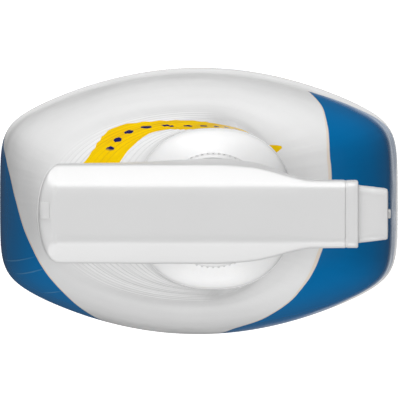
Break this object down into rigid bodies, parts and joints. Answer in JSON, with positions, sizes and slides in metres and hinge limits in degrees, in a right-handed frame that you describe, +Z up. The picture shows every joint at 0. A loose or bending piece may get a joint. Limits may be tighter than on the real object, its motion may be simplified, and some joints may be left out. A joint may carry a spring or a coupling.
{
  "type": "trigger spray bottle",
  "caption": "Upright cleaner bottle with a pistol-grip neck, wrapped in a printed shrink sleeve, with a screw-on trigger sprayer whose piston pump sprays from a turnable nozzle.",
  "frame": {"origin": "centre of the base, on the surface the bottle stands on", "axes": "+Z up along the bottle, +X the way the nozzle sprays, +Y the side that carries the printed neck band"},
  "size_m": [0.1164, 0.0776, 0.262],
  "materials": {
    "bottle_hdpe": "white blow-moulded polyethylene, satin",
    "sleeve_film": "printed shrink film, glossy",
    "white_pp": "white moulded polypropylene, satin gloss",
    "natural_pp": "unpigmented polypropylene",
    "tube_pe": "cloudy polyethylene tube",
    "seal": "soft elastomer",
    "steel": "bright stainless steel"
  },
  "bodies": {
    "bottle": {"bottle": "bottle_hdpe", "label_sleeve": "sleeve_film"},
    "sprayer": {"sprayer_body": "natural_pp", "shroud": "white_pp", "tube_retainer": "natural_pp", "dip_tube": "tube_pe", "neck_gasket": "seal", "outlet_plug": "natural_pp", "spinner": "natural_pp", "return_spring": "steel"},
    "closure": {"closure": "white_pp"},
    "trigger": {"trigger": "white_pp"},
    "piston": {"piston": "natural_pp", "piston_seal": "seal", "vent_seal": "seal"},
    "nozzle": {"nozzle_cap": "white_pp", "nozzle_seal": "seal", "nozzle_insert": "natural_pp"},
    "intake_ball": {"intake_ball": "steel"},
    "outlet_ball": {"outlet_ball": "steel"}
  },
  "joints": [
    {"name": "sprayer_rise", "type": "slide", "parent": "bottle", "child": "sprayer", "axis": [0, 0, 1], "range_m": [0, 0.00635]},
    {"name": "closure_turn", "type": "hinge", "parent": "sprayer", "child": "closure", "pos_m": [0.0055, 0, 0.208], "axis": [0, 0, 1], "range_deg": [0, 540]},
    {"name": "trigger_squeeze", "type": "hinge", "parent": "sprayer", "child": "trigger", "pos_m": [0.033, 0, 0.2475], "axis": [0, 1, 0], "range_deg": [0, 16], "stiffness_Nm_per_rad": 0.46, "springref_deg": -21.2},
    {"name": "piston_stroke", "type": "slide", "parent": "sprayer", "child": "piston", "axis": [-1, 0, 0], "range_m": [0, 0.0062], "deforming": ["return_spring"]},
    {"name": "nozzle_turn", "type": "hinge", "parent": "sprayer", "child": "nozzle", "pos_m": [0.0459, 0, 0.2532], "axis": [1, 0, 0], "continuous": true},
    {"name": "intake_ball_lift", "type": "slide", "parent": "sprayer", "child": "intake_ball", "axis": [0, 0, 1], "range_m": [0, 0.0012]},
    {"name": "outlet_ball_lift", "type": "slide", "parent": "sprayer", "child": "outlet_ball", "axis": [0, 0, 1], "range_m": [0, 0.0014]}
  ],
  "couplings": [
    {"joint": "closure_turn", "follows": "sprayer_rise", "rad_per_m": 1484.2},
    {"joint": "piston_stroke", "follows": "trigger_squeeze", "m_per_rad": 0.0215}
  ]
}
